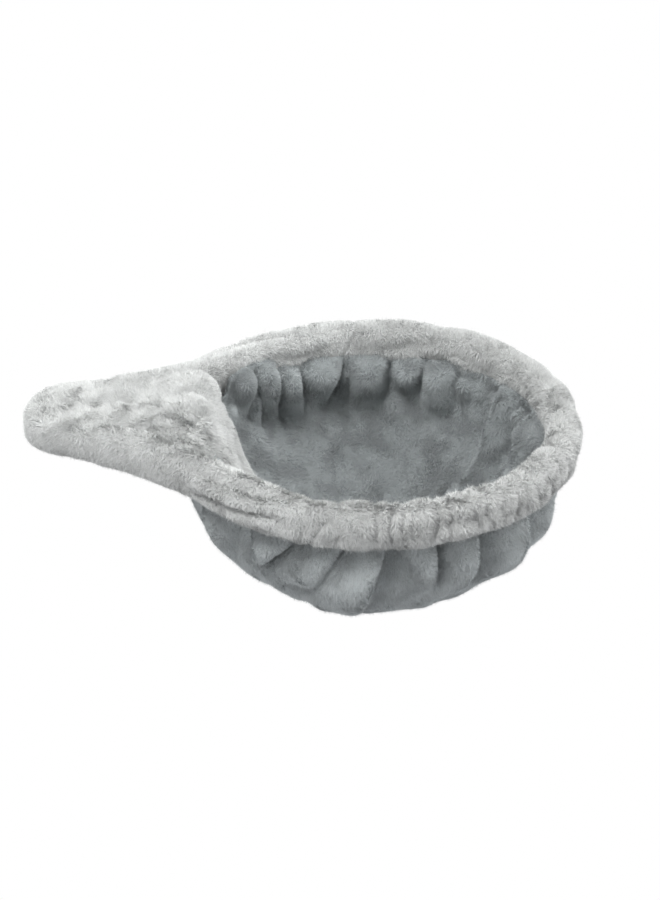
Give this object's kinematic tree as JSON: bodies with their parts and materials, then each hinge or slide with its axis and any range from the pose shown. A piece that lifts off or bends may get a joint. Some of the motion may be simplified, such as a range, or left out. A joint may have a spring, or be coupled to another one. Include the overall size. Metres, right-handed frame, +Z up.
{
  "type": "plush hanging basket",
  "caption": "Spoon-shaped plush basket for a cat tree: a padded wire hoop with a flat screw-on handle and a soft gathered pouch whose floor can be pushed up.",
  "frame": {"origin": "midway between the two screw holes, on the upper face of the mounting plate in the handle", "axes": "+X from the handle along the basket to the far side of the rim, +Z up out of the pouch's mouth, along the screws; +Y is the remaining right-handed axis"},
  "size_m": [0.41, 0.302, 0.14],
  "materials": {
    "spring_steel": "bent round bar, plain drawn surface",
    "plate_steel": "flat pressed plate, light rolling marks",
    "weld": "rippled weld bead",
    "cap_rubber": "soft black end cap",
    "foam": "open-cell foam",
    "wadding": "loose polyester fibre",
    "plush_light": "short clumped plush pile, light cool grey",
    "plush_cover": "short clumped plush pile, mid cool grey in the folds",
    "plush_lining": "short clumped plush pile, seen in shade inside the pouch",
    "thread": "twisted polyester sewing thread",
    "elastic": "round covered elastic"
  },
  "bodies": {
    "hanger": {"ring_rod": "spring_steel", "mounting_plate": "plate_steel", "left_weld_bead": "weld", "right_weld_bead": "weld", "left_tail_cap": "cap_rubber", "right_tail_cap": "cap_rubber", "upper_handle_foam": "foam", "lower_handle_foam": "foam", "handle_top_panel": "plush_light", "handle_underside_panel": "plush_light", "handle_seam_thread": "thread", "rim_wadding": "wadding", "left_neck_wadding": "wadding", "right_neck_wadding": "wadding", "rim_sleeve": "plush_light", "left_neck_sleeve": "plush_light", "right_neck_sleeve": "plush_light", "gathering_elastic": "elastic", "lining_seam_thread": "thread", "neck_bib": "plush_light", "pouch_wall_cover": "plush_cover", "pouch_wall_wadding": "wadding", "pouch_wall_lining": "plush_lining"},
    "pouch_floor": {"pouch_floor_cover": "plush_cover", "pouch_floor_wadding": "wadding", "pouch_floor_lining": "plush_lining"}
  },
  "joints": [
    {"name": "pouch_lift", "type": "slide", "parent": "hanger", "child": "pouch_floor", "axis": [0, 0, 1], "range_m": [0, 0.06]}
  ]
}
